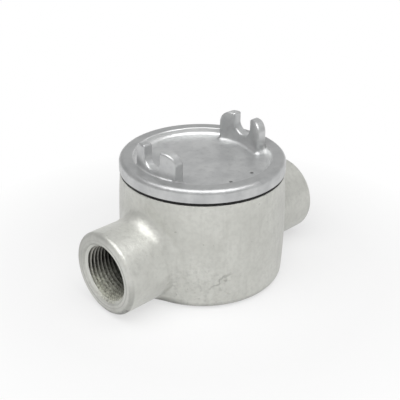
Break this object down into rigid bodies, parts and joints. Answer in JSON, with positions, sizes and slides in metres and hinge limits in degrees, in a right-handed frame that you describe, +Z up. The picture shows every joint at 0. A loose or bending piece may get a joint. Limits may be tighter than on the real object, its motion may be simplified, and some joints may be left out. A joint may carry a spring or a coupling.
{
  "type": "threaded round junction box",
  "caption": "Round cast conduit junction box with threaded hubs on opposite sides and a gasketed screw-in cover that has notched saddles for a turning bar.",
  "frame": {"origin": "centre of the flat base, on the axis of the drum and the cover", "axes": "+Z up along the axis of the cover, +X along the common axis of the two hubs"},
  "size_m": [0.1422, 0.0934, 0.0842],
  "materials": {
    "cast_body": "sand-cast iron, zinc plated and sprayed with dull aluminium-coloured paint",
    "cast_cover": "bare cast aluminium with a soft shine",
    "gasket_rubber": "black moulded rubber",
    "green_screw": "green plated steel"
  },
  "bodies": {
    "box": {"box_body": "cast_body", "ground_screw": "green_screw"},
    "gasket": {"cover_gasket": "gasket_rubber"},
    "cover": {"cover": "cast_cover"}
  },
  "joints": [
    {"name": "cover_rise", "type": "slide", "parent": "box", "child": "gasket", "axis": [0, 0, 1], "range_m": [0, 0.0164]},
    {"name": "cover_turn", "type": "hinge", "parent": "gasket", "child": "cover", "pos_m": [0, 0, 0.0617], "axis": [0, 0, 1], "range_deg": [0, 2790]}
  ],
  "couplings": [
    {"joint": "cover_rise", "follows": "cover_turn", "m_per_rad": 0.00033688}
  ]
}
